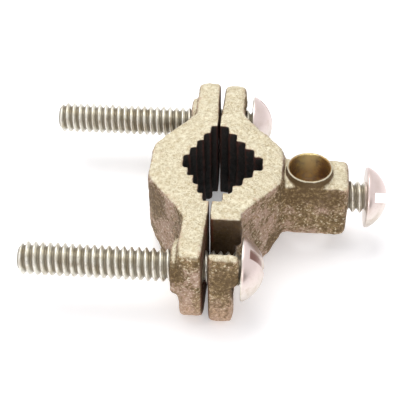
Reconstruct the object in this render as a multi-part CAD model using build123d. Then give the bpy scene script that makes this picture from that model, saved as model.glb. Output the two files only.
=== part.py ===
"""Two-jaw bronze earth rod clamp with slotted screws, in millimetres.

+Z runs along the gripped rod, +X along the clamp screws towards their heads.
The origin lies on the lower end faces, midway between the jaws' parting faces.
"""
from build123d import *
import os

# castings
jaw_height = 13.9
screw_drop = 5.75
parting_gap = 0.3
ear_relief = 0.3
screw_spacing = 32.2
arm_foot = 11.6
edge_round = 0.45
low_edge_round = 1.2
foot_slope_run = 2.2
foot_slope_rise = 3.2

# stepped rod seat, half of a diamond in each jaw
seat_half_width = 8.4
teeth_per_side = 5
tooth_pitch = 1.75
lug_tooth_step = 1.39
plain_tooth_step = 0.91

# lug jaw: the casting that carries the wire lug
lug_ear_thickness = 3.7
lug_wall = 3.2
back_half_width = 3.8
back_round = 2.0
root_round = 1.5
far_ear_margin = 3.2
near_ear_margin = 4.1
clearance_hole_radius = 2.65
slot_width = 6.4
slot_shift = 0.6
slot_lift = 0.1
lip_height = 5.3
lip_proud = 0.95
ear_low_round = 2.3
ear_top_round = 0.8

# wire lug on the lug jaw
lug_length = 9.8
lug_width = 7.0
lug_top_drop = 1.35
lug_bottom_rise = 2.9
lug_corner_round = 0.8
wire_hole_radius = 3.0
wire_hole_setback = 6.0
collar_height = 1.2
collar_wall = 0.4

# threaded jaw: the plain half that the clamp screws pull in
plain_ear_thickness = 3.65
plain_wall = 5.0
plain_ear_margin = 4.0
plain_ear_corner = 1.2
plain_ear_low_round = 3.4
plain_ear_top_round = 1.2
thread_boss_radius = 3.9
thread_boss_proud = 1.1

# number ten screws with slotted round heads
screw_radius = 2.4
thread_clearance = 0.05
tip_chamfer = 0.5
head_radius = 4.56
head_height = 3.3
head_rim = 0.35
slot_cut_width = 1.5
slot_cut_depth = 2.1
clamp_screw_length = 31.75
head_standoff = 1.1
wire_screw_length = 5.6
wire_screw_standoff = 2.6
near_slot_turn = 11
far_slot_turn = -30
wire_slot_turn = 47

half_gap = parting_gap / 2
screw_z = jaw_height - screw_drop
screw_y = screw_spacing / 2
lug_seat_depth = teeth_per_side * lug_tooth_step
plain_seat_depth = teeth_per_side * plain_tooth_step
lug_back_x = half_gap + lug_seat_depth + lug_wall
plain_back_x = half_gap + plain_seat_depth + plain_wall
lug_end_x = lug_back_x + lug_length
lug_top_z = jaw_height - lug_top_drop
wire_hole_x = lug_end_x - wire_hole_setback
near_ear_end_y = -(screw_y + near_ear_margin)
far_ear_end_y = screw_y + far_ear_margin
plain_ear_end_y = screw_y + plain_ear_margin
lug_ear_x = half_gap + lug_ear_thickness
head_face_x = lug_ear_x + head_standoff
wire_head_face_x = lug_end_x + wire_screw_standoff
tapped_radius = screw_radius + thread_clearance


def mirrored_outline(points):
    """Closed outline from points with Y >= 0 and their mirror images below."""
    lower = [(x, -y) for x, y in reversed(points)]
    return [*points, *[p for p in lower if p not in points]]


def prism(points, z_low, z_high):
    """Upright prism over a closed outline."""
    face = make_face(Polyline(*points, close=True))
    return extrude(Pos(0, 0, z_low) * face, z_high - z_low)


def axis_rod(x_from, x_to, y, z, radius):
    """Round bar along X."""
    rod = Cylinder(radius, x_to - x_from, align=(Align.CENTER, Align.CENTER, Align.MIN))
    return Pos(x_from, y, z) * Rot(0, 90, 0) * rod


def upright_edges(solid, x, y):
    """The vertical edges of a solid that stand at one X and Y."""
    found = []
    for edge in solid.edges().filter_by(Axis.Z):
        centre = edge.center()
        if abs(centre.X - x) < 0.01 and abs(centre.Y - y) < 0.01:
            found.append(edge)
    return found


def seat_cutter(side, step):
    """Stepped V that opens at the parting face; side is +1 or -1 along X."""
    # the mouth is carried past the parting face so that the cut is clean
    points = [(-half_gap, seat_half_width)]
    for tooth in range(teeth_per_side):
        half_width = seat_half_width - tooth * tooth_pitch
        root_x = half_gap + (tooth + 1) * step
        points += [(points[-1][0], half_width), (root_x, half_width)]
    outline = [(side * x, y) for x, y in mirrored_outline(points[1:])]
    return prism(outline, -1, jaw_height + 1)


def cast_arch(side, ear, back, far_end, near_end):
    """Bridge-shaped casting blank: two ears joined by a bowed back.

    The ears' parting faces lean back by the ear relief at their ends.
    """
    x_ear = half_gap + ear
    points = [
        (half_gap, arm_foot),
        (half_gap + ear_relief, far_end),
        (x_ear, far_end),
        (x_ear, arm_foot),
        (back, back_half_width),
        (back, -back_half_width),
        (x_ear, -arm_foot),
        (x_ear, near_end),
        (half_gap + ear_relief, near_end),
        (half_gap, -arm_foot),
    ]
    blank = prism([(side * x, y) for x, y in points], 0, jaw_height)
    for y in (back_half_width, -back_half_width):
        blank = fillet(upright_edges(blank, side * back, y), back_round)
    for y in (arm_foot, -arm_foot):
        blank = fillet(upright_edges(blank, side * x_ear, y), root_round)
    return blank


def soften_rims(solid):
    """Rounds the outer edges of both end faces, the lower ones more."""
    for index, radius in ((0, low_edge_round), (-1, edge_round)):
        rim = solid.faces().sort_by(Axis.Z)[index].edges()
        outer = [e for e in rim if abs(e.center().X) > half_gap + ear_relief]
        solid = fillet(outer, radius)
    return solid


def foot_slope(side, back):
    """Wedge under the bowed back, where the lower face slopes up to the outer wall."""
    points = [
        (back - 2 * foot_slope_run, -foot_slope_rise),
        (back + foot_slope_run, 2 * foot_slope_rise),
        (back + foot_slope_run, -foot_slope_rise),
    ]
    face = make_face(Polyline(*[(side * x, z) for x, z in points], close=True))
    return extrude(Plane.XZ * face, arm_foot, both=True)


def ear_silhouette(near_y, far_y, low_round, top_round):
    """Bar along X that trims both ears to rounded corners as seen along the screws."""
    face = make_face(
        Polyline((near_y, 0), (far_y, 0), (far_y, jaw_height), (near_y, jaw_height), close=True)
    )
    low = [v for v in face.vertices() if v.Y < jaw_height / 2]
    face = fillet(low, low_round)
    top = [v for v in face.vertices() if v.Y > jaw_height - 0.01]
    face = fillet(top, top_round)
    return extrude(Plane.YZ * face, 2 * lug_end_x, both=True)


def hooked_lip():
    """Thicker upper band of the slotted ear, which hooks behind the screw head."""
    lip = Box(
        lug_ear_thickness + lip_proud - ear_relief,
        -arm_foot + root_round - near_ear_end_y,
        lip_height,
        align=(Align.MIN, Align.MIN, Align.MAX),
    )
    lip = Pos(half_gap + ear_relief, near_ear_end_y, jaw_height) * lip
    proud = [e for e in lip.edges().filter_by(Axis.Y) if e.center().X > lug_ear_x]
    return fillet(proud, edge_round)


def screw_slot():
    """Open-topped slot that the near clamp screw lifts out of."""
    y_mid = -screw_y + slot_shift
    radius = slot_width / 2
    z_mid = screw_z + slot_lift
    length = 4 * lug_ear_thickness
    channel = Box(length, slot_width, jaw_height, align=(Align.CENTER, Align.CENTER, Align.MIN))
    return Pos(0, y_mid, z_mid) * channel + axis_rod(-length / 2, length / 2, y_mid, z_mid, radius)


def wire_lug():
    """Block behind the seat, with a collar round the wire hole."""
    block = Box(
        lug_length + lug_wall / 2,
        lug_width,
        lug_top_z - lug_bottom_rise,
        align=(Align.MAX, Align.CENTER, Align.MIN),
    )
    block = Pos(lug_end_x, 0, lug_bottom_rise) * block
    outer = [e for e in block.edges() if e.center().X > lug_end_x - 0.01]
    outer += [e for e in block.edges().filter_by(Axis.X)]
    block = fillet(outer, lug_corner_round)
    collar = Cylinder(
        wire_hole_radius + collar_wall,
        collar_height + 1,
        align=(Align.CENTER, Align.CENTER, Align.MIN),
    )
    return block + Pos(wire_hole_x, 0, lug_top_z - 1) * collar


def make_lug_jaw():
    """Lug jaw: arch, slotted near ear, plain far ear and wire lug in one casting."""
    arch = cast_arch(1, lug_ear_thickness, lug_back_x, far_ear_end_y, near_ear_end_y)
    jaw = soften_rims(arch) + hooked_lip()
    jaw = jaw & ear_silhouette(near_ear_end_y, far_ear_end_y, ear_low_round, ear_top_round)
    jaw -= foot_slope(1, lug_back_x)
    jaw += wire_lug()
    jaw -= seat_cutter(1, lug_tooth_step)
    jaw -= axis_rod(-1, lug_back_x, screw_y, screw_z, clearance_hole_radius)
    jaw -= screw_slot()
    jaw -= Pos(wire_hole_x, 0, screw_z) * Cylinder(wire_hole_radius, 3 * jaw_height)
    jaw -= axis_rod(wire_hole_x, lug_end_x + 1, 0, screw_z, tapped_radius)
    return jaw


def make_threaded_jaw():
    """Plain jaw with tapped, bossed ears."""
    end_y = plain_ear_end_y
    jaw = cast_arch(-1, plain_ear_thickness, plain_back_x, end_y, -end_y)
    for y in (end_y, -end_y):
        jaw = fillet(upright_edges(jaw, -(half_gap + plain_ear_thickness), y), plain_ear_corner)
    jaw = soften_rims(jaw) - foot_slope(-1, plain_back_x)
    jaw = jaw & ear_silhouette(-end_y, end_y, plain_ear_low_round, plain_ear_top_round)
    boss_x = -(half_gap + plain_ear_thickness + thread_boss_proud)
    for y in (screw_y, -screw_y):
        jaw += axis_rod(boss_x, -(half_gap + ear_relief), y, screw_z, thread_boss_radius)
        jaw -= axis_rod(boss_x - 1, 1, y, screw_z, tapped_radius)
    jaw -= seat_cutter(-1, plain_tooth_step)
    return jaw


def slotted_screw(length):
    """Round-head screw along -X from a head whose underside is at X = 0."""
    dome_radius = (head_radius**2 + (head_height - head_rim) ** 2) / (2 * (head_height - head_rim))
    dome_mid = head_height - dome_radius / 2
    dome_mid_radius = (dome_radius**2 - (dome_mid - head_height + dome_radius) ** 2) ** 0.5
    profile = Polyline(
        (0, -length),
        (screw_radius - tip_chamfer, -length),
        (screw_radius, -length + tip_chamfer),
        (screw_radius, 0),
        (head_radius, 0),
        (head_radius, head_rim),
    )
    dome = ThreePointArc((head_radius, head_rim), (dome_mid_radius, dome_mid), (0, head_height))
    axis = Line((0, head_height), (0, -length))
    outline = make_face([*profile.edges(), *dome.edges(), *axis.edges()])
    upright = revolve(Plane.XZ * outline, Axis.Z)
    slot = Box(2.2 * head_radius, slot_cut_width, 2 * slot_cut_depth)
    upright -= Pos(0, 0, head_height) * slot
    return Rot(0, 90, 0) * upright


def make_clamp_screw(y, slot_turn):
    """Clamp screw at one ear, its slot turned about its own axis."""
    screw = Rot(slot_turn, 0, 0) * slotted_screw(clamp_screw_length)
    return Pos(head_face_x, y, screw_z) * screw


def make_wire_screw():
    """Short screw that pinches the earth wire in the lug."""
    screw = Rot(wire_slot_turn, 0, 0) * slotted_screw(wire_screw_length)
    return Pos(wire_head_face_x, 0, screw_z) * screw


def write(node, shape):
    """Writes one node as its own STEP file."""
    export_step(shape, os.path.join("parts", node + ".step"))
    print(node, "volume", round(shape.volume, 1), "solids", len(shape.solids()))


os.makedirs("parts", exist_ok=True)
write("lug_jaw", make_lug_jaw())
write("threaded_jaw", make_threaded_jaw())
write("near_clamp_screw", make_clamp_screw(-screw_y, near_slot_turn))
write("far_clamp_screw", make_clamp_screw(screw_y, far_slot_turn))
write("wire_screw", make_wire_screw())
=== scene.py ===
"""Earth rod clamp: weathered bronze castings, threaded screws, lights and camera.

Lengths are in metres in the part's frame: +Z along the rod, +X along the screws.
"""
import logging
import math
from dataclasses import dataclass
from enum import Enum

import bmesh
import bpy
from mathutils import Matrix, Vector, noise


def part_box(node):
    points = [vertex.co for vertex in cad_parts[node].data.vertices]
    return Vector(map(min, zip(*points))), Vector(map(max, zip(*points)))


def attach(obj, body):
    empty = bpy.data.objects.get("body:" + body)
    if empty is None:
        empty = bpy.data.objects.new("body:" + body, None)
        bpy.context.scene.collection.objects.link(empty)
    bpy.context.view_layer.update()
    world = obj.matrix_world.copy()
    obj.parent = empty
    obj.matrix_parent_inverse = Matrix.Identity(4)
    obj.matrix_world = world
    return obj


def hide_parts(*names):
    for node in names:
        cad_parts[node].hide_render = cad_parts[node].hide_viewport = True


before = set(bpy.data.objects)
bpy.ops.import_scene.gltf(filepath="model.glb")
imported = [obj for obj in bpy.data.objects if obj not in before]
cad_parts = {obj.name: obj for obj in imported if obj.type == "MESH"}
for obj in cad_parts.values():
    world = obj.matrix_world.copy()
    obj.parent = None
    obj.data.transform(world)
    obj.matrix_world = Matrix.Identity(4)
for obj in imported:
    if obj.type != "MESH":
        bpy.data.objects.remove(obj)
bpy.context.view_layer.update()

MM = 0.001
# Axes of the wire hole and of the screws.
WIRE_X = 14.1 * MM
SCREW_Y = 16.1 * MM
SCREW_Z = 8.15 * MM
# The rod seat ends where |y| + SEAT_SLOPE * max(x, SEAT_BACK * x) passes a set reach.
SEAT_SLOPE = 1.04
SEAT_BACK = -1.25
NOISE_MIDDLE = 0.5
LOG = logging.getLogger("clamp")


class Slot(Enum):
    """The record's material slots."""

    BRONZE = "cast_bronze"
    STEEL = "plated_steel"


@dataclass(frozen=True)
class Tint:
    """A display colour, kept as the eye sees it.

    Args:
        red: red share, 0 to 1.
        green: green share, 0 to 1.
        blue: blue share, 0 to 1.
    """

    red: float
    green: float
    blue: float

    @staticmethod
    def linear(share: float) -> float:
        """Linear light of one display share, by the sRGB curve."""
        return ((share + 0.055) / 1.055) ** 2.4 if share > 0.04 else share / 12.92

    def rgba(self) -> tuple[float, float, float, float]:
        """Linear colour with full alpha, as shader sockets take it."""
        return (self.linear(self.red), self.linear(self.green), self.linear(self.blue), 1.0)


@dataclass(frozen=True)
class Band:
    """Limits of a smooth step.

    Args:
        low: value that gives 0.
        high: value that gives 1.
    """

    low: float
    high: float


@dataclass(frozen=True)
class Mask(Band):
    """Limits of a smooth step over a weighted sum of the bronze's noises.

    Args:
        low: sum that gives 0.
        high: sum that gives 1.
        patches: weight of the broad patches.
        mottle: weight of the mottling.
        crumb: weight of the crumbs.
        grain: weight of the fine grain.
    """

    patches: float = 0.0
    mottle: float = 0.0
    crumb: float = 0.0
    grain: float = 0.0


@dataclass(frozen=True)
class Speckle:
    """Settings of one noise over object space.

    Args:
        scale: features per metre.
        detail: octaves.
        roughness: strength of the finer octaves.
    """

    scale: float
    detail: float = 3.0
    roughness: float = 0.55


def span_mm(low: float, high: float) -> Band:
    """Limits given in millimetres.

    Args:
        low: millimetres that give 0.
        high: millimetres that give 1.

    Returns:
        The limits in metres.
    """
    return Band(low * MM, high * MM)


class Term:
    """A node output that takes part in shader arithmetic."""

    def __init__(self, graph: "Graph", socket: bpy.types.NodeSocket) -> None:
        """Wraps one output.

        Args:
            graph: graph that owns the node.
            socket: the wrapped output.
        """
        self.graph = graph
        self.socket = socket

    def math(self, operation: str, *others: object, swap: bool = False) -> "Term":
        """Puts this value through one Math node.

        Args:
            operation: the Math node's operation.
            others: the remaining operands.
            swap: True to make this value the second operand.

        Returns:
            The node's output.
        """
        operands = [self, *others]
        if swap:
            operands.reverse()
        return self.graph.node("ShaderNodeMath", dict(enumerate(operands)), operation=operation)

    def __add__(self, other: object) -> "Term":
        """Sum."""
        return self.math("ADD", other)

    def __radd__(self, other: object) -> "Term":
        """Sum with a number on the left."""
        return self.math("ADD", other, swap=True)

    def __sub__(self, other: object) -> "Term":
        """Difference."""
        return self.math("SUBTRACT", other)

    def __rsub__(self, other: object) -> "Term":
        """Difference with a number on the left."""
        return self.math("SUBTRACT", other, swap=True)

    def __mul__(self, other: object) -> "Term":
        """Product."""
        return self.math("MULTIPLY", other)

    def __abs__(self) -> "Term":
        """Absolute value."""
        return self.math("ABSOLUTE")

    def ramp(self, band: Band) -> "Term":
        """Smooth step of this value.

        Args:
            band: values that give 0 and 1.

        Returns:
            The step's output, 0 to 1.
        """
        sockets = {"Value": self, "From Min": band.low, "From Max": band.high}
        return self.graph.node("ShaderNodeMapRange", sockets, interpolation_type="SMOOTHSTEP")

    def under(self, band: Band) -> "Term":
        """Smooth step that falls from 1 below a band to 0 above it."""
        return 1.0 - self.ramp(band)

    def sway(self, reach: float) -> "Term":
        """Noise that swings about zero.

        Args:
            reach: the whole swing.

        Returns:
            The swinging value.
        """
        return (self - NOISE_MIDDLE) * reach


class Graph:
    """Node graph of one material or world."""

    def __init__(self, tree: bpy.types.NodeTree) -> None:
        """Clears a tree for use.

        Args:
            tree: the node tree to fill.
        """
        self.tree = tree
        tree.nodes.clear()

    def node(self, kind: str, sockets: dict, output: object = 0, **settings: object) -> Term:
        """Adds one node.

        Args:
            kind: the node's type name.
            sockets: values or terms by input name or index.
            output: name or index of the output to return.
            settings: node properties.

        Returns:
            The chosen output.
        """
        made = self.tree.nodes.new(kind)
        for name, value in settings.items():
            setattr(made, name, value)
        for key, value in sockets.items():
            if isinstance(value, Term):
                self.tree.links.new(value.socket, made.inputs[key])
            else:
                made.inputs[key].default_value = value
        return Term(self, made.outputs[output])

    def mix(self, factor: object, first: object, second: object) -> Term:
        """Blends two colours.

        Args:
            factor: share of the second colour.
            first: colour or term shown at factor 0.
            second: colour or term shown at factor 1.

        Returns:
            The blended colour.
        """
        sockets = {
            0: factor,
            6: first.rgba() if isinstance(first, Tint) else first,
            7: second.rgba() if isinstance(second, Tint) else second,
        }
        return self.node("ShaderNodeMix", sockets, output=2, data_type="RGBA")

    def noise(self, speckle: Speckle) -> Term:
        """Noise over object space.

        Args:
            speckle: its settings.

        Returns:
            The noise value, 0 to 1.
        """
        sockets = {
            "Vector": self.node("ShaderNodeTexCoord", {}, output="Object"),
            "Scale": speckle.scale,
            "Detail": speckle.detail,
            "Roughness": speckle.roughness,
        }
        return self.node("ShaderNodeTexNoise", sockets)

    def distance(self, spot: Vector) -> Term:
        """Distance from a fixed place in object space.

        Args:
            spot: the place.

        Returns:
            The distance.
        """
        sockets = {0: self.node("ShaderNodeTexCoord", {}, output="Object"), 1: spot}
        return self.node("ShaderNodeVectorMath", sockets, output="Value", operation="DISTANCE")

    def axes(self, output: str) -> list[Term]:
        """Components of an object-space coordinate.

        Args:
            output: name of the Texture Coordinate output.

        Returns:
            The X, Y and Z components.
        """
        vector = self.node("ShaderNodeTexCoord", {}, output=output)
        split = self.node("ShaderNodeSeparateXYZ", {0: vector}).socket.node
        return [Term(self, socket) for socket in split.outputs]

    def bump(self, height: Term, distance: float, strength: float) -> Term:
        """Surface relief.

        Args:
            height: relief height, 0 to 1.
            distance: depth of the relief.
            strength: share of the relief that shows.

        Returns:
            The bumped normal.
        """
        sockets = {"Height": height, "Distance": distance, "Strength": strength}
        return self.node("ShaderNodeBump", sockets)

    def surface(self, **sockets: object) -> None:
        """Adds the surface shader and the output.

        Args:
            sockets: values by input name, with underscores for spaces.
        """
        named = {name.replace("_", " "): value for name, value in sockets.items()}
        self.finish("ShaderNodeOutputMaterial", self.node("ShaderNodeBsdfPrincipled", named))

    def finish(self, kind: str, shader: Term) -> None:
        """Links a shader to a new output node.

        Args:
            kind: the output node's type name.
            shader: the finished shader.
        """
        made = self.tree.nodes.new(kind)
        self.tree.links.new(shader.socket, made.inputs[0])


def new_graph(name: str) -> tuple[bpy.types.Material, Graph]:
    """Makes an empty material.

    Args:
        name: the material's name.

    Returns:
        The material and its graph.
    """
    material = bpy.data.materials.new(name)
    material.use_nodes = True
    return material, Graph(material.node_tree)


@dataclass(frozen=True)
class BronzeTints:
    """Colours of the cast bronze."""

    # Pale tone of upward faces, part wear and part painted light from above; also the specks and
    # the wire hole's rim.
    pale: Tint = Tint(0.91, 0.885, 0.79)
    warm: Tint = Tint(0.79, 0.735, 0.60)
    side: Tint = Tint(0.665, 0.555, 0.495)
    olive: Tint = Tint(0.56, 0.46, 0.29)
    tarnish: Tint = Tint(0.36, 0.28, 0.16)
    copper: Tint = Tint(0.80, 0.67, 0.56)
    rust: Tint = Tint(0.38, 0.16, 0.09)
    # Painted shade in the wire hole.
    bore_shade: Tint = Tint(0.52, 0.33, 0.16)
    # Painted highlight in the wire hole.
    bore_highlight: Tint = Tint(1.0, 0.93, 0.68)
    # Painted shade on the walls of the near ear's slot.
    slot_wall_shade: Tint = Tint(0.27, 0.20, 0.09)
    # Painted shade over the rod seat.
    seat_shade: Tint = Tint(0.09, 0.09, 0.075)
    machined: Tint = Tint(0.93, 0.80, 0.48)


@dataclass(frozen=True)
class Site:
    """Place, facing, noises and colours that the layers of the bronze draw on.

    Args:
        graph: graph that owns the terms.
        tints: the bronze's colours.
        x: place along the screws.
        y: place across the screws.
        z: place along the rod.
        top: share by which a face looks up.
        side: what is left of that share.
        edges: share by which a place is an outer edge.
        rust: share of rusty patches.
        patches: broad patches.
        mottle: mottling.
        crumb: crumbs.
        grain: fine grain.
    """

    graph: Graph
    tints: BronzeTints
    x: Term
    y: Term
    z: Term
    top: Term
    side: Term
    edges: Term
    rust: Term
    patches: Term
    mottle: Term
    crumb: Term
    grain: Term

    def mask(self, mask: Mask) -> Term:
        """Puts the noises through a mask.

        Args:
            mask: their weights and the step's limits.

        Returns:
            The step's output, 0 to 1.
        """
        weighted = (
            (self.patches, mask.patches),
            (self.mottle, mask.mottle),
            (self.crumb, mask.crumb),
            (self.grain, mask.grain),
        )
        first, *rest = [term * weight for term, weight in weighted if weight]
        return sum(rest, first).ramp(mask)

    def mix(self, factor: object, first: object, second: object) -> Term:
        """Blends two colours, as Graph.mix does."""
        return self.graph.mix(factor, first, second)


@dataclass(frozen=True)
class Weathering:
    """Pale tops, part worn tone and part painted light from above; mottled flanks, stains,
    coppery edges that are part wear and part painted highlight, specks and pits.
    """

    worn: Mask = Mask(0.39, 0.62, mottle=0.5, crumb=0.3, grain=0.2)
    blotch: Mask = Mask(0.44, 0.58, patches=0.75, mottle=0.25)
    skin: Mask = Mask(0.38, 0.52, mottle=0.4, crumb=0.6)
    shade: Mask = Mask(0.42, 0.60, mottle=0.4, crumb=0.6)
    stain: Mask = Mask(0.36, 0.46, patches=0.4, grain=0.6)
    scuff_and_highlight: Mask = Mask(0.42, 0.58, grain=1.0)
    pit: Mask = Mask(0.35, 0.45, crumb=0.6, grain=0.4)
    worn_share: float = 0.12
    stain_share: float = 0.5
    scuff_and_highlight_share: float = 0.85
    speck_share: float = 0.62
    pit_share: float = 0.6
    pit_loss_on_top: float = 0.35

    def paint(self, site: Site, specks: Term) -> Term:
        """Paints the whole casting.

        Args:
            site: where and on what the paint goes.
            specks: share of pale specks.

        Returns:
            The colour.
        """
        tints = site.tints
        worn = site.mask(self.worn)
        face = site.mix(worn, tints.warm, tints.pale)
        skin = site.mix(site.mask(self.skin), tints.olive, tints.side)
        shade = site.mix(site.mask(self.shade), tints.tarnish, tints.olive)
        flank = site.mix(site.mask(self.blotch), shade, skin)
        flank = site.mix(worn * self.worn_share, flank, tints.warm)
        # Upward faces take the pale tone, part worn tone and part painted light from above; the
        # flanks stay darker.
        colour = site.mix(site.top, flank, face)
        stains = 1.0 - site.mask(self.stain)
        colour = site.mix(stains * self.stain_share, colour, tints.olive)
        # Coppery outer edges, broken up by grain: part wear, part painted highlight.
        scuffs_and_highlights = site.edges * site.rust * site.mask(self.scuff_and_highlight)
        colour = site.mix(scuffs_and_highlights * self.scuff_and_highlight_share, colour, tints.copper)
        colour = site.mix(specks * self.speck_share, colour, tints.pale)
        pits = 1.0 - site.mask(self.pit)
        share = self.pit_share - site.top * self.pit_loss_on_top
        return site.mix(pits * share, colour, tints.tarnish)


@dataclass(frozen=True)
class FootBloom:
    """Coppery bloom low on the ears."""

    ears: Band = span_mm(12.0, 14.0)
    fade: Band = span_mm(1.5, 7.5)
    ragged: float = 12.0 * MM
    crumb: Mask = Mask(0.35, 0.6, crumb=1.0)
    least: float = 0.15
    on_crumb: float = 0.45

    def paint(self, site: Site, colour: Term) -> Term:
        """Paints the bloom.

        Args:
            site: where and on what the paint goes.
            colour: the colour so far.

        Returns:
            The colour with the bloom.
        """
        low = (site.z + site.mottle.sway(self.ragged)).under(self.fade)
        share = self.least + site.mask(self.crumb) * self.on_crumb
        bloom = abs(site.y).ramp(self.ears) * low * site.side * share
        return site.mix(bloom, colour, site.tints.copper)


@dataclass(frozen=True)
class Clouds:
    """Dark olive-brown clouds at set places on the flanks."""

    spots: tuple[tuple[Vector, float], ...] = (
        (Vector((-8.8, -5.8, 10.5)) * MM, 3.4 * MM),
        (Vector((12.2, -3.6, 11.6)) * MM, 3.2 * MM),
        (Vector((16.6, -3.6, 11.2)) * MM, 2.9 * MM),
        (Vector((3.2, -20.2, 9.6)) * MM, 2.9 * MM),
        (Vector((-4.6, -20.0, 10.2)) * MM, 2.2 * MM),
        (Vector((9.4, -5.0, 3.2)) * MM, 2.0 * MM),
    )
    crumb: Mask = Mask(0.46, 0.70, crumb=1.0)
    mottle_sway: float = 0.9
    grain_sway: float = 0.5
    inner: float = 0.7
    outer: float = 1.1
    share: float = 0.85

    def paint(self, site: Site, colour: Term) -> Term:
        """Paints the clouds.

        Args:
            site: where and on what the paint goes.
            colour: the colour so far.

        Returns:
            The colour with the clouds.
        """
        shade = site.mix(site.mask(self.crumb), site.tints.tarnish, site.tints.olive)
        for spot, size in self.spots:
            away = site.graph.distance(spot) + site.mottle.sway(size * self.mottle_sway)
            away = away + site.grain.sway(size * self.grain_sway)
            cloud = away.under(Band(size * self.inner, size * self.outer))
            colour = site.mix(cloud * self.share * site.side, colour, shade)
        return colour


@dataclass(frozen=True)
class SlotWall:
    """Painted shade on the walls of the near ear's open-topped slot."""

    slot_y: float = 15.5 * MM
    half_width: Band = span_mm(3.5, 3.9)
    floor: Band = span_mm(4.4, 5.2)
    inner_face: Band = span_mm(0.1, 0.5)
    outer_face: Band = span_mm(4.6, 5.2)
    mottle: Mask = Mask(0.3, 0.55, mottle=1.0)
    share: float = 0.9

    def paint(self, site: Site, colour: Term) -> Term:
        """Paints the slot's walls.

        Args:
            site: where and on what the paint goes.
            colour: the colour so far.

        Returns:
            The colour with the walls.
        """
        wall = abs(site.y + self.slot_y).under(self.half_width) * site.z.ramp(self.floor)
        wall = wall * site.x.ramp(self.inner_face) * site.x.under(self.outer_face)
        # Painted shade on the slot's walls, mottled.
        slot_wall_shade = site.mix(site.mask(self.mottle), site.tints.tarnish, site.tints.slot_wall_shade)
        return site.mix(wall * site.side * self.share, colour, slot_wall_shade)


@dataclass(frozen=True)
class PartingLine:
    """Rusty line where the two jaws meet."""

    centre: float = 0.05 * MM
    half_width: Band = span_mm(0.50, 0.75)
    share: float = 0.85

    def paint(self, site: Site, colour: Term) -> Term:
        """Paints the line.

        Args:
            site: where and on what the paint goes.
            colour: the colour so far.

        Returns:
            The colour with the line.
        """
        line = abs(site.x - self.centre).under(self.half_width) * site.side
        dirt = site.mix(site.rust, site.tints.tarnish, site.tints.rust)
        return site.mix(line * self.share, colour, dirt)


@dataclass(frozen=True)
class RodSeat:
    """Painted shade over the teeth of the deep rod seat, with a little rust on their edges."""

    reach: Band = span_mm(10.2, 10.7)
    edge_rust: float = 0.35
    patch_rust: float = 0.05

    def area(self, site: Site) -> Term:
        """Share by which a place lies in the seat."""
        along = site.x.math("MAXIMUM", site.x * SEAT_BACK) * SEAT_SLOPE
        return (abs(site.y) + along).under(self.reach) * site.side

    def paint(self, site: Site, colour: Term, area: Term) -> Term:
        """Paints shade over the seat, with rust on the tooth edges and in patches.

        Args:
            site: where and on what the paint goes.
            colour: the colour so far.
            area: share by which a place lies in the seat.

        Returns:
            The colour with the seat.
        """
        rusty = site.edges * self.edge_rust + site.rust * self.patch_rust
        # Painted shade over the seat; rust on the tooth edges and in patches.
        return site.mix(area, colour, site.mix(rusty, site.tints.seat_shade, site.tints.rust))


@dataclass(frozen=True)
class WireHole:
    """Machined wire hole with painted shadow on its collar's sides, a dark ring and a pale rim at
    its mouth, and painted shade and a painted highlight inside.
    """

    lug: Band = span_mm(9.0, 10.0)
    wall: Band = span_mm(3.12, 3.25)
    collar: Band = span_mm(3.75, 4.0)
    collar_rise: Band = span_mm(12.45, 12.65)
    collar_shade_share: float = 0.85
    ring: Band = span_mm(3.62, 3.72)
    ring_rise: Band = span_mm(13.2, 13.4)
    rim: Band = span_mm(3.30, 3.38)
    rim_rise: Band = span_mm(13.25, 13.5)
    mouth_share: float = 0.8
    streak: Mask = Mask(0.35, 0.65, mottle=1.0)
    ragged: float = 2.0 * MM
    clear_x: float = -0.2 * MM
    dark_aside: Band = span_mm(0.6, 2.6)
    dark_aside_share: float = 0.7
    dark_depth: Band = span_mm(7.0, 10.5)
    highlight_half: Band = span_mm(0.3, 1.8)
    highlight_rise: Band = span_mm(8.5, 11.5)
    highlight_far: Band = span_mm(0.5, 2.0)
    highlight_share: float = 0.9

    def inside(self, site: Site, offset: Term) -> Term:
        """Colour of the drilled wall, with painted shade deep down and to the sides and a painted
        highlight on the far wall.

        Args:
            site: where and on what the paint goes.
            offset: place along the screws from the hole's axis.

        Returns:
            The colour.
        """
        ragged = site.mottle.sway(self.ragged)
        streaks = site.mix(site.mask(self.streak), site.tints.machined, site.tints.warm)
        aside = (abs(offset - self.clear_x) + ragged).ramp(self.dark_aside)
        # Painted shade deep in the bore and towards its sides.
        deep = site.z.under(self.dark_depth).math("MAXIMUM", aside * self.dark_aside_share)
        drilled = site.mix(deep, streaks, site.tints.bore_shade)
        # Painted highlight on the bore's far wall near its top.
        bore_highlight = (abs(offset) + ragged).under(self.highlight_half) * site.z.ramp(self.highlight_rise)
        bore_highlight = bore_highlight * site.y.ramp(self.highlight_far)
        return site.mix(bore_highlight * self.highlight_share, drilled, site.tints.bore_highlight)

    def paint(self, site: Site, colour: Term) -> tuple[Term, Term]:
        """Paints the hole and the painted shadow on its collar.

        Args:
            site: where and on what the paint goes.
            colour: the colour so far.

        Returns:
            The colour with the hole, and the share by which a place lies in the hole.
        """
        offset = site.x - WIRE_X
        radius = (offset * offset + site.y * site.y).math("SQRT")
        lug = site.x.ramp(self.lug)
        # Painted shadow on the collar's sides.
        collar = radius.under(self.collar) * site.z.ramp(self.collar_rise) * lug
        colour = site.mix(collar * site.side * self.collar_shade_share, colour, site.tints.tarnish)
        ring = radius.under(self.ring) * site.z.ramp(self.ring_rise) * lug
        colour = site.mix(ring * self.mouth_share, colour, site.tints.tarnish)
        rim = radius.under(self.rim) * site.z.ramp(self.rim_rise) * lug
        colour = site.mix(rim * self.mouth_share, colour, site.tints.pale)
        bore = radius.under(self.wall) * lug
        return site.mix(bore, colour, self.inside(site, offset)), bore


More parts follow.
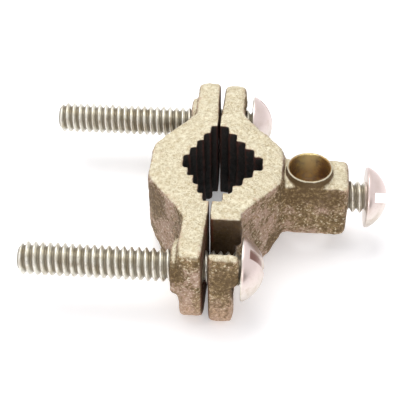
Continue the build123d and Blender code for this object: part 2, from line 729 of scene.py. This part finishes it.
@dataclass(frozen=True)
class CastBronze:
    """Sand-cast bronze: tops paler than sides, partly by painted light; painted shade in the rod
    seat; machined wire hole with painted shade and highlight.
    """

    tints: BronzeTints = BronzeTints()
    patches: Speckle = Speckle(210.0, 4.0, 0.62)
    mottle: Speckle = Speckle(1300.0, 4.0, 0.65)
    crumb: Speckle = Speckle(2500.0, 3.0, 0.65)
    grain: Speckle = Speckle(5200.0, 3.0, 0.7)
    rust: Speckle = Speckle(700.0, 3.0, 0.6)
    rusty: Band = Band(0.42, 0.60)
    pointed: Band = Band(0.503, 0.535)
    upward: Band = Band(0.45, 0.92)
    speck: Mask = Mask(0.54, 0.63, crumb=0.7, grain=0.3)
    weathering: Weathering = Weathering()
    foot_bloom: FootBloom = FootBloom()
    clouds: Clouds = Clouds()
    slot_wall: SlotWall = SlotWall()
    parting_line: PartingLine = PartingLine()
    rod_seat: RodSeat = RodSeat()
    wire_hole: WireHole = WireHole()
    metal: float = 0.35
    speck_metal: float = 0.35
    seat_metal_loss: float = 0.3
    bore_metal: float = 0.6
    rough: float = 0.64
    speck_polish: float = 0.26
    top_polish: float = 0.06
    bore_rough_limit: float = 0.95
    bore_polish: float = 0.72
    grain_height: float = 0.45
    mottle_height: float = 0.55
    bore_calm: float = 0.85
    relief: float = 0.22 * MM
    relief_share: float = 1.0

    def site(self, graph: Graph) -> Site:
        """Gathers what the layers draw on.

        Args:
            graph: the material's graph.

        Returns:
            Place, facing, noises and colours.
        """
        x, y, z = graph.axes("Object")
        top = graph.axes("Normal")[2].ramp(self.upward)
        pointiness = graph.node("ShaderNodeNewGeometry", {}, output="Pointiness")
        return Site(
            graph=graph,
            tints=self.tints,
            x=x,
            y=y,
            z=z,
            top=top,
            side=1.0 - top,
            edges=pointiness.ramp(self.pointed),
            rust=graph.noise(self.rust).ramp(self.rusty),
            patches=graph.noise(self.patches),
            mottle=graph.noise(self.mottle),
            crumb=graph.noise(self.crumb),
            grain=graph.noise(self.grain),
        )

    def build(self) -> bpy.types.Material:
        """Makes the material.

        Returns:
            The finished material.
        """
        material, graph = new_graph("cast_bronze")
        site = self.site(graph)
        specks = site.mask(self.speck)
        colour = self.weathering.paint(site, specks)
        for layer in (self.foot_bloom, self.clouds, self.slot_wall, self.parting_line):
            colour = layer.paint(site, colour)
        seat = self.rod_seat.area(site)
        colour = self.rod_seat.paint(site, colour, seat)
        colour, bore = self.wire_hole.paint(site, colour)
        metal = self.metal + specks * self.speck_metal - seat * self.seat_metal_loss
        rough = self.rough - specks * self.speck_polish - site.top * self.top_polish
        height = site.grain * self.grain_height + site.mottle * self.mottle_height
        height = height * (1.0 - bore * self.bore_calm)
        bore_rough = self.bore_rough_limit - bore * self.bore_polish
        graph.surface(
            Base_Color=colour,
            Metallic=metal.math("MAXIMUM", bore * self.bore_metal),
            Roughness=rough.math("MINIMUM", bore_rough),
            Normal=graph.bump(height, self.relief, self.relief_share),
        )
        return material


@dataclass(frozen=True)
class PlatedSteel:
    """Plated steel: heads with a pink blush that is part random tone and part painted shading by
    facing; painted shade in the thread roots and the driving slots.
    """

    bright: Tint = Tint(0.91, 0.90, 0.86)
    dull: Tint = Tint(0.80, 0.77, 0.70)
    # Dark flecks, and painted shade in the thread roots.
    stain: Tint = Tint(0.40, 0.35, 0.25)
    # Pink blush on the heads: random tone plus painted shading by facing.
    blush: Tint = Tint(0.86, 0.775, 0.765)
    # Painted shade in the driving slots.
    slot_shade: Tint = Tint(0.71, 0.60, 0.58)
    cloud: Speckle = Speckle(600.0, 4.0, 0.6)
    grain: Speckle = Speckle(6000.0, 3.0, 0.6)
    clamp_heads_from: Band = span_mm(5.0, 5.3)
    clamp_heads_to: Band = span_mm(12.0, 13.0)
    wire_head_from: Band = span_mm(22.4, 22.7)
    thread_floor: Band = span_mm(1.80, 2.20)
    brightening: Band = Band(0.32, 0.58)
    fleck: Band = Band(0.30, 0.42)
    upward: Band = Band(-0.3, 0.7)
    thread_shade_share: float = 0.8
    fleck_share: float = 0.35
    blush_least: float = 0.15
    painted_shading_by_facing: float = 0.5
    blush_cloud: float = 0.25
    dome: float = 5.06 * MM
    sunk_from: float = 0.25 * MM
    sunk_to: float = 0.50 * MM
    slot_depth: float = 2.1 * MM
    floor_from: float = 0.4 * MM
    floor_to: float = 0.2 * MM
    crown_fade: float = 0.1 * MM
    slot_shade_share: float = 0.8
    metal: float = 0.92
    hollow_metal_loss: float = 0.3
    rough: float = 0.22
    cloud_rough: float = 0.14
    grain_rough: float = 0.08
    grain_height: float = 0.6
    cloud_height: float = 0.4
    relief: float = 0.03 * MM
    relief_share: float = 0.5
    nodes: tuple[str, ...] = ("near_clamp_screw", "far_clamp_screw", "wire_screw")

    def groove_area(self, graph: Graph, x: Term, node: str) -> Term:
        """Share by which a place lies in one screw's driving slot.

        Args:
            graph: the material's graph.
            x: place along the screws.
            node: the screw's CAD node.

        Returns:
            The share, 0 to 1.
        """
        low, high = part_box(node)
        centre = Vector((high.x - self.dome, (low.y + high.y) / 2.0, (low.z + high.z) / 2.0))
        sunk = Band(self.dome - self.sunk_to, self.dome - self.sunk_from)
        floor_x = high.x - self.slot_depth
        floor = x.ramp(Band(floor_x - self.floor_from, floor_x - self.floor_to))
        crown = x.under(Band(high.x, high.x + self.crown_fade))
        return graph.distance(centre).under(sunk) * floor * crown

    def build(self) -> bpy.types.Material:
        """Makes the material.

        Returns:
            The finished material.
        """
        material, graph = new_graph("plated_steel")
        cloud = graph.noise(self.cloud)
        grain = graph.noise(self.grain)
        x, y, z = graph.axes("Object")
        up = graph.axes("Normal")[2]
        aside = abs(y).math("MINIMUM", abs(abs(y) - SCREW_Y))
        rise = z - SCREW_Z
        radius = (aside * aside + rise * rise).math("SQRT")
        clamp_heads = x.ramp(self.clamp_heads_from) * x.under(self.clamp_heads_to)
        heads = clamp_heads + x.ramp(self.wire_head_from)
        # Painted shade in the thread roots.
        thread_shade = radius.under(self.thread_floor) * (1.0 - heads)
        # Pink blush: random tone plus painted shading that grows on upward faces.
        blush_and_shading = self.blush_least + up.ramp(self.upward) * self.painted_shading_by_facing
        blush_and_shading = blush_and_shading + cloud * self.blush_cloud
        colour = graph.mix(cloud.ramp(self.brightening), self.dull, self.bright)
        colour = graph.mix(thread_shade * self.thread_shade_share, colour, self.stain)
        colour = graph.mix(grain.under(self.fleck) * self.fleck_share, colour, self.stain)
        colour = graph.mix(heads * blush_and_shading, colour, self.blush)
        for node in self.nodes:
            # Painted shade in each screw's driving slot.
            area = self.groove_area(graph, x, node)
            colour = graph.mix(area * self.slot_shade_share, colour, self.slot_shade)
        height = grain * self.grain_height + cloud * self.cloud_height
        graph.surface(
            Base_Color=colour,
            Metallic=self.metal - thread_shade * self.hollow_metal_loss,
            Roughness=self.rough + cloud * self.cloud_rough + grain * self.grain_rough,
            Normal=graph.bump(height, self.relief, self.relief_share),
        )
        return material


@dataclass(frozen=True)
class PaleFloor:
    """Matt ground with a faint grain that glows white away from the part."""

    base: Tint = Tint(0.985, 0.985, 0.985)
    shade: Tint = Tint(0.975, 0.975, 0.975)
    grain: Speckle = Speckle(900.0, 2.0)
    rough: float = 0.9
    near_glow: float = 0.26
    far_glow: float = 0.42
    reach: Band = Band(0.12, 0.5)

    def build(self) -> bpy.types.Material:
        """Makes the material.

        Returns:
            The finished material.
        """
        material, graph = new_graph("pale_floor")
        away = graph.distance(Vector((0.0, 0.0, 0.0))).ramp(self.reach)
        share = self.near_glow / self.far_glow
        graph.surface(
            Base_Color=graph.mix(graph.noise(self.grain), self.shade, self.base),
            Roughness=self.rough,
            Emission_Color=graph.mix(away, (share, share, share, 1.0), (1.0, 1.0, 1.0, 1.0)),
            Emission_Strength=self.far_glow,
        )
        return material


def to_mesh(form: bmesh.types.BMesh, name: str) -> bpy.types.Mesh:
    """Turns a form into a mesh and frees it.

    Args:
        form: the form.
        name: the mesh's name.

    Returns:
        The new mesh.
    """
    mesh = bpy.data.meshes.new(name)
    form.to_mesh(mesh)
    form.free()
    return mesh


def add_object(name: str, data: bpy.types.ID) -> bpy.types.Object:
    """Links data into the scene as an object.

    Args:
        name: the object's name.
        data: its mesh, lamp or camera data.

    Returns:
        The new object.
    """
    made = bpy.data.objects.new(name, data)
    bpy.context.scene.collection.objects.link(made)
    return made


def bake(obj: bpy.types.Object) -> None:
    """Turns an object's modifiers into mesh.

    Args:
        obj: the object to settle.
    """
    settled = obj.evaluated_get(bpy.context.evaluated_depsgraph_get())
    mesh = bpy.data.meshes.new_from_object(settled)
    obj.modifiers.clear()
    obj.data = mesh


def place(
    obj: bpy.types.Object, body: str, node: str, slot: Slot, material: bpy.types.Material
) -> None:
    """Paints a piece, puts it on its body and lets it stand for a CAD node.

    Args:
        obj: the piece.
        body: name of the body it rides on.
        node: name of the CAD node it stands for.
        slot: the record's material slot; not used.
        material: the finish.
    """
    obj.data.materials.clear()
    obj.data.materials.append(material)
    obj.data.polygons.foreach_set("material_index", [0] * len(obj.data.polygons))
    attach(obj, body)
    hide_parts(node)
    LOG.info("piece %s on %s: %d faces", obj.name, body, len(obj.data.polygons))


@dataclass
class Casting:
    """A rough cast jaw grown from its CAD solid."""

    node: str
    body: str
    weld: float = 0.001 * MM
    grid: float = 0.21 * MM
    smoothing: int = 4
    rounding: int = 16
    smooth_share: float = 0.5
    broad_scale: float = 260.0
    swell: float = 0.16 * MM
    middle_scale: float = 900.0
    lump: float = 0.11 * MM
    fine_scale: float = 2300.0
    grit: float = 0.07 * MM
    calm_share: float = 0.2
    wire_reach: float = 3.7 * MM
    screw_reach: float = 3.3 * MM
    parting_reach: float = 0.75 * MM
    seat_reach: float = 11.3 * MM
    lug_end: float = 19.6 * MM
    end_sink: float = 0.06 * MM
    tap_reach: float = 2.9 * MM
    tap_sink: float = 0.05 * MM

    def from_wire(self, point: Vector) -> float:
        """Distance of a place from the wire hole's axis."""
        return math.hypot(point.x - WIRE_X, point.y)

    def from_screw(self, point: Vector) -> float:
        """Distance of a place from the nearer clamp screw's axis."""
        return math.hypot(abs(point.y) - SCREW_Y, point.z - SCREW_Z)

    def in_tap(self, point: Vector) -> bool:
        """Whether a place lies in the wire screw's tapped hole or at its mouth."""
        return point.x > WIRE_X and math.hypot(point.y, point.z - SCREW_Z) < self.tap_reach

    def is_outer(self, point: Vector) -> bool:
        """Whether a place is worn round, away from the toothed seat and every hole.

        Args:
            point: place on the skin.

        Returns:
            True where the casting's edges are worn round.
        """
        reach = abs(point.y) + SEAT_SLOPE * max(point.x, SEAT_BACK * point.x)
        off_wire = self.from_wire(point) > self.wire_reach
        off_screw = self.from_screw(point) > self.screw_reach
        return reach > self.seat_reach and off_wire and off_screw and not self.in_tap(point)

    def relief(self, point: Vector) -> float:
        """Height of the cast skin over the pattern.

        Args:
            point: place on the skin.

        Returns:
            The height, which may be negative.
        """
        if self.from_wire(point) < self.wire_reach:
            return 0.0
        if self.in_tap(point):
            return -self.tap_sink
        is_calm = self.from_screw(point) < self.screw_reach or abs(point.x) < self.parting_reach
        calm = self.calm_share if is_calm else 1.0
        broad = noise.noise(point * self.broad_scale) * self.swell
        middle = noise.noise(point * self.middle_scale) * self.lump
        fine = noise.noise(point * self.fine_scale) * self.grit
        height = calm * (broad + middle + fine)
        if point.x > self.lug_end:
            return min(height, -self.end_sink)
        return height

    def smooth(
        self, skin: bmesh.types.BMesh, verts: list[bmesh.types.BMVert], passes: int
    ) -> None:
        """Smooths part of the skin.

        Args:
            skin: the skin.
            verts: its corners to move.
            passes: how often each moves.
        """
        share = self.smooth_share
        for _ in range(passes):
            bmesh.ops.smooth_vert(
                skin, verts=verts, factor=share, use_axis_x=True, use_axis_y=True, use_axis_z=True
            )

    def roughen(self, mesh: bpy.types.Mesh) -> None:
        """Wears the edges round and raises the cast skin.

        Args:
            mesh: the casting's mesh.
        """
        skin = bmesh.new()
        skin.from_mesh(mesh)
        self.smooth(skin, list(skin.verts), self.smoothing)
        outer = [vert for vert in skin.verts if self.is_outer(vert.co)]
        self.smooth(skin, outer, self.rounding)
        skin.normal_update()
        moves = [vert.normal * self.relief(vert.co) for vert in skin.verts]
        for vert, move in zip(skin.verts, moves):
            vert.co += move
        for face in skin.faces:
            face.smooth = True
        skin.to_mesh(mesh)
        skin.free()

    def build(self, material: bpy.types.Material) -> None:
        """Makes the casting.

        Args:
            material: its finish.
        """
        obj = add_object(self.node + "_cast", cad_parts[self.node].data.copy())
        welded = bmesh.new()
        welded.from_mesh(obj.data)
        bmesh.ops.remove_doubles(welded, verts=welded.verts, dist=self.weld)
        welded.to_mesh(obj.data)
        welded.free()
        remesh = obj.modifiers.new("skin", "REMESH")
        remesh.mode = "VOXEL"
        remesh.voxel_size = self.grid
        bake(obj)
        self.roughen(obj.data)
        place(obj, self.body, self.node, Slot.BRONZE, material)


@dataclass
class Screw:
    """A slotted round-head screw with a cut thread, lying along -X from its head."""

    node: str
    body: str
    slot_angle: float
    major: float = 2.38 * MM
    minor: float = 1.76 * MM
    pitch: float = 25.4 / 24 * MM
    flank_gain: float = 1.35
    root_flat: float = 0.12
    tip: float = 0.6 * MM
    tip_drop: float = 0.15 * MM
    around: int = 48
    rows_per_turn: int = 12
    head_radius: float = 4.55 * MM
    head_height: float = 3.24 * MM
    head_rim: float = 0.4 * MM
    brim: float = 0.12 * MM
    weld: float = 0.002 * MM
    head_around: int = 96
    head_rings: int = 14
    sharp_angle: float = 35.0
    slot_width: float = 1.5 * MM
    slot_depth: float = 2.1 * MM
    ease: float = 0.12 * MM
    ease_segments: int = 2
    ease_angle: float = 40.0

    def __post_init__(self) -> None:
        """Takes the screw's length and place from its CAD node."""
        low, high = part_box(self.node)
        seat_x = high.x - self.head_height
        self.seat = Vector((seat_x, (low.y + high.y) / 2.0, (low.z + high.z) / 2.0))
        self.length = seat_x - low.x

    def thread_radius(self, along: float, turn: float) -> float:
        """Radius of the cut thread.

        Args:
            along: distance from the screw's tip.
            turn: share of a turn about +X.

        Returns:
            The radius there.
        """
        phase = (along / self.pitch - turn) % 1.0
        wave = min(max(abs(2.0 * phase - 1.0) * self.flank_gain - self.root_flat, 0.0), 1.0)
        cut = self.minor + (self.major - self.minor) * wave
        end = self.minor - self.tip_drop
        return min(cut, end + along * (self.major - end) / self.tip)

    def thread(self, material: bpy.types.Material) -> None:
        """Makes the threaded shank.

        Args:
            material: its finish.
        """
        rows = round(self.length / self.pitch * self.rows_per_turn)
        half = self.length / 2.0
        middle = Matrix.Translation(self.seat - Vector((half, 0.0, 0.0)))
        shank = bmesh.new()
        bmesh.ops.create_cone(
            shank,
            cap_ends=True,
            segments=self.around,
            radius1=self.major,
            radius2=self.major,
            depth=self.length,
            matrix=middle @ Matrix.Rotation(math.radians(90.0), 4, "Y"),
        )
        sides = [
            edge for edge in shank.edges if abs(edge.verts[0].co.x - edge.verts[1].co.x) > half
        ]
        bmesh.ops.subdivide_edges(shank, edges=sides, cuts=rows - 1, use_grid_fill=True)
        for vert in shank.verts:
            out = vert.co - self.seat
            turn = math.atan2(out.z, out.y) / math.tau
            radius = self.thread_radius(out.x + self.length, turn)
            scale = radius / math.hypot(out.y, out.z)
            vert.co = self.seat + Vector((out.x, out.y * scale, out.z * scale))
        for face in shank.faces:
            face.smooth = len(face.verts) == 4
        bmesh.ops.recalc_face_normals(shank, faces=shank.faces)
        name = self.node + "_thread"
        obj = add_object(name, to_mesh(shank, name))
        place(obj, self.body, self.node, Slot.STEEL, material)

    def head_profile(self) -> list[Vector]:
        """Half outline of the head from its seat to its crown.

        Returns:
            The outline's points, seen from the seat's centre.
        """
        rise = self.head_height - self.head_rim
        dome = (self.head_radius**2 + rise**2) / (2.0 * rise)
        centre = self.head_height - dome
        span = math.asin(self.head_radius / dome)
        profile = [
            Vector((0.0, 0.0, 0.0)),
            Vector((0.0, self.head_radius - self.brim, 0.0)),
            Vector((self.brim, self.head_radius, 0.0)),
        ]
        for ring in range(self.head_rings + 1):
            angle = span * (1.0 - ring / self.head_rings)
            along = centre + dome * math.cos(angle)
            profile.append(Vector((along, dome * math.sin(angle), 0.0)))
        return profile

    def head(self, material: bpy.types.Material) -> None:
        """Makes the slotted head.

        Args:
            material: its finish.
        """
        turned = bmesh.new()
        verts = [turned.verts.new(self.seat + point) for point in self.head_profile()]
        edges = [turned.edges.new(pair) for pair in zip(verts, verts[1:])]
        bmesh.ops.spin(
            turned,
            geom=verts + edges,
            cent=self.seat,
            axis=(1.0, 0.0, 0.0),
            angle=math.tau,
            steps=self.head_around,
            use_merge=True,
        )
        bmesh.ops.remove_doubles(turned, verts=turned.verts, dist=self.weld)
        bmesh.ops.recalc_face_normals(turned, faces=turned.faces)
        name = self.node + "_head"
        obj = add_object(name, to_mesh(turned, name))
        self.cut_slot(obj)
        mesh = obj.data
        mesh.polygons.foreach_set("use_smooth", [True] * len(mesh.polygons))
        mesh.set_sharp_from_angle(angle=math.radians(self.sharp_angle))
        place(obj, self.body, self.node, Slot.STEEL, material)

    def cut_slot(self, obj: bpy.types.Object) -> None:
        """Cuts the driving slot and eases its edges.

        Args:
            obj: the head to cut.
        """
        crown = Matrix.Translation(self.seat + Vector((self.head_height, 0.0, 0.0)))
        turn = Matrix.Rotation(math.radians(self.slot_angle), 4, "X")
        # Half of the bar stands above the crown, and its ends run out past the head.
        sides = (2.0 * self.slot_depth, 3.0 * self.head_radius, self.slot_width, 1.0)
        bar = bmesh.new()
        bmesh.ops.create_cube(bar, size=1.0, matrix=crown @ turn @ Matrix.Diagonal(sides))
        cutter = add_object("slot_bar", to_mesh(bar, "slot_bar"))
        cut = obj.modifiers.new("slot", "BOOLEAN")
        cut.operation = "DIFFERENCE"
        cut.solver = "EXACT"
        cut.object = cutter
        ease = obj.modifiers.new("ease", "BEVEL")
        ease.width = self.ease
        ease.segments = self.ease_segments
        ease.limit_method = "ANGLE"
        ease.angle_limit = math.radians(self.ease_angle)
        bake(obj)
        bpy.data.objects.remove(cutter)

    def build(self, material: bpy.types.Material) -> None:
        """Makes the whole screw.

        Args:
            material: its finish.
        """
        self.thread(material)
        self.head(material)


@dataclass(frozen=True)
class Lamp:
    """One soft square lamp aimed at the part.

    Args:
        name: the lamp's name.
        spot: where it hangs.
        size: side of its square face.
        power: its power in watts.
        tint: its colour.
        aim_height: height over the origin that it looks at.
    """

    name: str
    spot: Vector
    size: float
    power: float
    tint: tuple[float, float, float]
    aim_height: float = 5.0 * MM

    def build(self) -> None:
        """Hangs the lamp."""
        light = bpy.data.lights.new(self.name, "AREA")
        light.size = self.size
        light.energy = self.power
        light.color = self.tint
        obj = add_object(self.name, light)
        obj.location = self.spot
        look = Vector((0.0, 0.0, self.aim_height)) - self.spot
        obj.rotation_euler = look.to_track_quat("-Z", "Y").to_euler()


@dataclass
class Studio:
    """Floor, reflected card, sky and lamps."""

    floor_half: float = 1.2
    floor_drop: float = 0.05 * MM
    card_half: float = 0.5
    card_height: float = 0.17
    card_y: float = -0.28
    card_dark: Tint = Tint(0.20, 0.17, 0.12)
    card_light: Tint = Tint(0.26, 0.22, 0.15)
    card_grain: Speckle = Speckle(40.0)
    sky_low: Tint = Tint(0.60, 0.60, 0.61)
    sky_high: Tint = Tint(0.80, 0.80, 0.82)
    sky_seen: Tint = Tint(1.0, 1.0, 1.0)
    sky_rise: Band = Band(0.0, 0.8)
    lamps: tuple[Lamp, ...] = (
        Lamp("key", Vector((-0.08, 0.10, 0.34)), 0.30, 0.80, (1.0, 0.98, 0.95)),
        Lamp("fill", Vector((0.03, -0.32, 0.12)), 0.14, 0.42, (1.0, 0.95, 0.96)),
    )

    def sheet(
        self, name: str, half: float, move: Matrix, material: bpy.types.Material
    ) -> bpy.types.Object:
        """Lays one square sheet.

        Args:
            name: the sheet's name.
            half: half of its side.
            move: where it goes from the origin.
            material: its finish.

        Returns:
            The sheet.
        """
        grid = bmesh.new()
        bmesh.ops.create_grid(grid, x_segments=1, y_segments=1, size=half)
        mesh = to_mesh(grid, name)
        mesh.transform(move)
        mesh.materials.append(material)
        return add_object(name, mesh)

    def card(self) -> None:
        """Stands up a dark card that only shiny metal shows, as a band along the screws."""
        material, graph = new_graph("card")
        grain = graph.noise(self.card_grain)
        graph.surface(
            Base_Color=graph.mix(grain, self.card_dark, self.card_light), Roughness=1.0
        )
        raise_up = Matrix.Translation((0.0, self.card_y, self.card_height / 2.0))
        stand = Matrix.Rotation(math.radians(90.0), 4, "X")
        flatten = Matrix.Diagonal((1.0, self.card_height, 1.0, 1.0))
        card = self.sheet("card", self.card_half, raise_up @ stand @ flatten, material)
        card.visible_camera = False
        card.visible_diffuse = False
        card.visible_shadow = False

    def sky(self) -> None:
        """Makes a soft sky that reads white behind the part."""
        world = bpy.data.worlds.new("sky")
        bpy.context.scene.world = world
        world.use_nodes = True
        graph = Graph(world.node_tree)
        facing = graph.node("ShaderNodeTexCoord", {}, output="Generated")
        height = graph.node("ShaderNodeSeparateXYZ", {0: facing}, output=2)
        colour = graph.mix(height.ramp(self.sky_rise), self.sky_low, self.sky_high)
        rays = graph.node("ShaderNodeLightPath", {}).socket.node
        kinds = ("Is Camera Ray", "Is Glossy Ray", "Is Transmission Ray")
        camera, glossy, passing = (Term(graph, rays.outputs[kind]) for kind in kinds)
        seen = camera.math("MAXIMUM", glossy).math("MAXIMUM", passing)
        colour = graph.mix(seen, colour, self.sky_seen)
        shader = graph.node("ShaderNodeBackground", {0: colour, 1: 1.0})
        graph.finish("ShaderNodeOutputWorld", shader)

    def build(self) -> None:
        """Makes the floor, the card, the sky and the lamps."""
        drop = Matrix.Translation((0.0, 0.0, -self.floor_drop))
        floor = self.sheet("floor", self.floor_half, drop, PaleFloor().build())
        self.card()
        self.sky()
        for lamp in self.lamps:
            lamp.build()


@dataclass
class Camera:
    """Viewpoint given by where it looks and from which side."""

    target: Vector
    yaw: float = 5.5
    elevation: float = 43.4
    roll: float = -1.0
    distance: float = 0.152
    sensor: float = 36.0
    focal_widths: float = 2.555
    shift_x: float = -0.005
    shift_y: float = 0.0085
    clip_start: float = 0.005
    clip_end: float = 10.0

    def build(self) -> None:
        """Makes the camera and sets it as the scene's."""
        yaw, rise, roll = map(math.radians, (self.yaw, self.elevation, self.roll))
        level_share = math.cos(rise)
        back = Vector(
            (math.sin(yaw) * level_share, -math.cos(yaw) * level_share, math.sin(rise))
        )
        level = (-back).cross(Vector((0.0, 0.0, 1.0))).normalized()
        upward = level.cross(-back)
        right = math.cos(roll) * level + math.sin(roll) * upward
        up = -math.sin(roll) * level + math.cos(roll) * upward
        data = bpy.data.cameras.new("camera")
        data.sensor_width = self.sensor
        data.lens = self.sensor * self.focal_widths
        data.shift_x, data.shift_y = self.shift_x, self.shift_y
        data.clip_start, data.clip_end = self.clip_start, self.clip_end
        obj = add_object("camera", data)
        turn = Matrix((right, up, back)).transposed().to_4x4()
        obj.matrix_world = Matrix.Translation(self.target + back * self.distance) @ turn
        bpy.context.scene.camera = obj


def main() -> None:
    """Builds the clamp and its surroundings in order."""
    logging.basicConfig(level=logging.INFO, format="%(name)s: %(message)s")
    bronze, steel = CastBronze().build(), PlatedSteel().build()
    Casting("lug_jaw", "lug_jaw").build(bronze)
    Casting("threaded_jaw", "threaded_jaw").build(bronze)
    Screw("near_clamp_screw", "near_screw", slot_angle=101.0).build(steel)
    Screw("far_clamp_screw", "far_screw", slot_angle=60.0).build(steel)
    Screw("wire_screw", "wire_screw", slot_angle=-43.0).build(steel)
    Studio().build()
    Camera(target=Vector((-1.6, -4.4, 9.4)) * MM).build()
    bpy.context.scene.view_settings.view_transform = "Standard"


if __name__ == "__main__":
    main()
